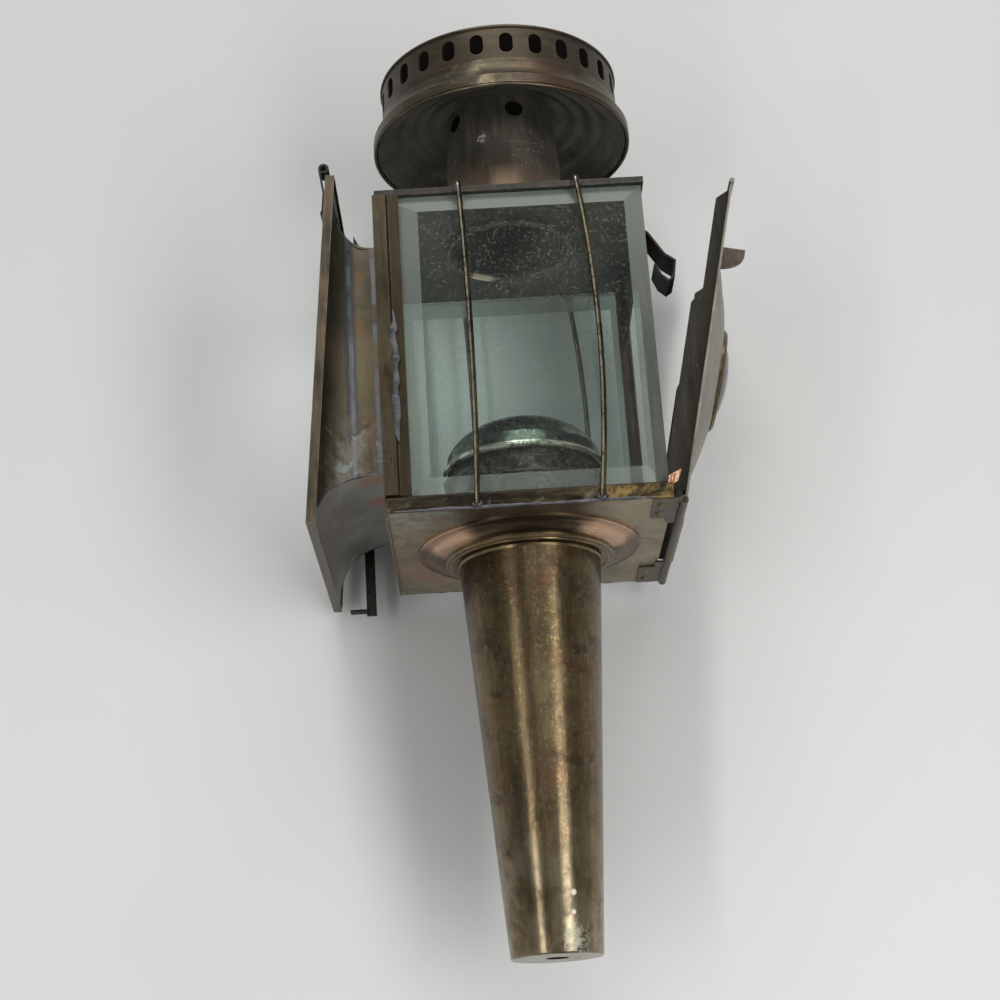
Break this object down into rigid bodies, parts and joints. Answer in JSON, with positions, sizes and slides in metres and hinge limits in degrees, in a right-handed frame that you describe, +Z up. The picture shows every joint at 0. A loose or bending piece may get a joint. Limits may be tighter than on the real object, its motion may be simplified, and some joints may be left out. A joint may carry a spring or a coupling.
{
  "type": "candle carriage lamp",
  "caption": "Square candle carriage lamp with bevelled side panes, flared front hood, drop-down rear door, vented round crown and tapered tubular stem.",
  "frame": {"origin": "centre of the hole in the stem's bottom end, on the outer face", "axes": "+Z up along the stem and chimney, -Y out of the front pane, -X out of the hood, +X out of the rear door"},
  "size_m": [0.1746, 0.114, 0.3614],
  "materials": {
    "aged_brass": "dark olive-brown patina with worn bright patches",
    "aged_copper": "coppery brown patina with grey solder",
    "dark_bronze": "dark grey-brown patina with heat tint",
    "black_iron": "worn black",
    "pane_glass": "clear, slightly green, bevelled",
    "ruby_glass": "deep red, polished",
    "spring_steel": "dull",
    "wax": "waxy",
    "cotton": "charred at the tip"
  },
  "bodies": {
    "stem": {"stem_tube": "aged_brass", "stem_spigot": "aged_copper", "stem_end": "aged_brass", "candle_tube": "aged_brass", "candle_nozzle": "aged_brass", "feed_spring": "spring_steel"},
    "feeder": {"follower": "aged_brass", "candle": "wax", "wick": "cotton"},
    "lantern": {"base_pan": "aged_copper", "base_moulding": "aged_copper", "stem_socket": "aged_brass", "corner_posts": "dark_bronze", "hood_wall": "dark_bronze", "door_wall": "dark_bronze", "roof_plate": "aged_copper", "ceiling_ring": "dark_bronze", "front_glass": "pane_glass", "back_glass": "pane_glass", "front_stile": "aged_brass", "back_stile": "aged_brass", "front_sill": "aged_brass", "back_sill": "aged_brass", "front_wires": "aged_brass", "back_wires": "aged_brass", "hood_flange": "aged_copper", "hood_glass": "pane_glass", "hood_beads": "aged_brass", "hood_cove_front": "dark_bronze", "hood_cove_back": "dark_bronze", "hood_cove_top": "dark_bronze", "hood_cove_bottom": "dark_bronze", "hood_rim": "dark_bronze", "hood_lug": "black_iron", "hood_stay": "black_iron", "hinge_straps": "aged_copper", "hinge_pin": "black_iron", "catch_plate": "black_iron", "rivets": "aged_brass", "wind_dish": "dark_bronze", "dish_gallery": "dark_bronze", "chimney_lower": "aged_copper", "chimney_upper": "dark_bronze", "crown_dish": "dark_bronze", "crown_skirt": "aged_copper", "crown_bead": "aged_brass", "crown_band": "dark_bronze", "crown_cap": "aged_copper"},
    "door": {"door_panel": "dark_bronze", "door_tray": "dark_bronze", "door_leaf": "aged_copper", "lens_bezel": "aged_brass", "rear_lens": "ruby_glass", "lens_ring": "aged_brass", "thumb_tab": "aged_copper"},
    "catch": {"door_catch": "black_iron", "catch_peg": "black_iron"},
    "clip_front": {"rim_clip_front": "black_iron"},
    "clip_back": {"rim_clip_back": "black_iron"}
  },
  "joints": [
    {"name": "body_lift", "type": "slide", "parent": "stem", "child": "lantern", "axis": [0, 0, 1], "range_m": [0, 0.05]},
    {"name": "candle_feed", "type": "slide", "parent": "stem", "child": "feeder", "axis": [0, 0, 1], "range_m": [-0.04, 0], "stiffness_N_per_m": 60, "springref_m": 0.03, "deforming": ["feed_spring"]},
    {"name": "door_hinge", "type": "hinge", "parent": "lantern", "child": "door", "pos_m": [0.0546, 0, 0.1512], "axis": [0, 1, 0], "range_deg": [-13, 150]},
    {"name": "catch_flex", "type": "hinge", "parent": "lantern", "child": "catch", "pos_m": [0.0517, -0.02, 0.2705], "axis": [0, -1, 0], "range_deg": [0, 8], "stiffness_Nm_per_rad": 0.05, "springref_deg": -2.86},
    {"name": "clip_front_flex", "type": "hinge", "parent": "lantern", "child": "clip_front", "pos_m": [-0.06986, -0.0523, 0.26846], "axis": [0, -1, 0], "range_deg": [0, 6], "stiffness_Nm_per_rad": 0.05, "springref_deg": -2.86},
    {"name": "clip_back_flex", "type": "hinge", "parent": "lantern", "child": "clip_back", "pos_m": [-0.06986, 0.0523, 0.26846], "axis": [0, -1, 0], "range_deg": [0, 6], "stiffness_Nm_per_rad": 0.05, "springref_deg": -2.86}
  ]
}
